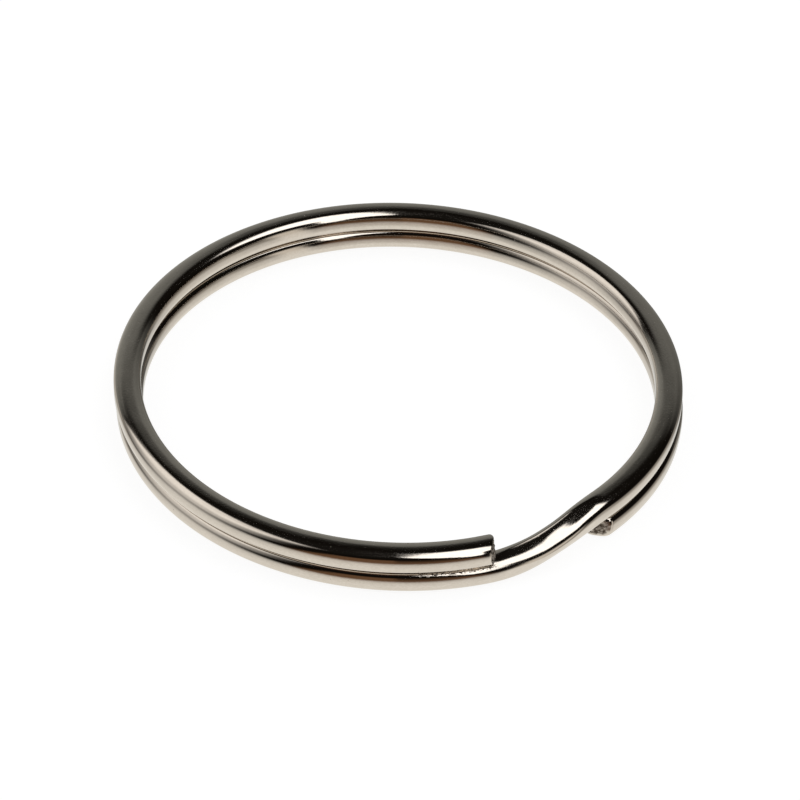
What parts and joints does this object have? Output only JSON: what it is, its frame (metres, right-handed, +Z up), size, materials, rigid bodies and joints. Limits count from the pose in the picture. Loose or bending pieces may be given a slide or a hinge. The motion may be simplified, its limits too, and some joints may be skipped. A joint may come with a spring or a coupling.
{
  "type": "split ring",
  "caption": "Split ring of flattened, nickel-plated wire, coiled on itself with a bend where it steps from one turn down to the other, for keys and tags.",
  "frame": {"origin": "centre of the ring's eye, on the plane that the ring lies on", "axes": "+Z up through the eye, -Y towards the side where the upper turn's cut end lies"},
  "size_m": [0.025, 0.025, 0.002],
  "materials": {
    "nickel_plate": "polished nickel plate on spring steel, with fine pits and hairline scratches"
  },
  "bodies": {
    "root": {"ring_wire": "nickel_plate"}
  },
  "joints": []
}
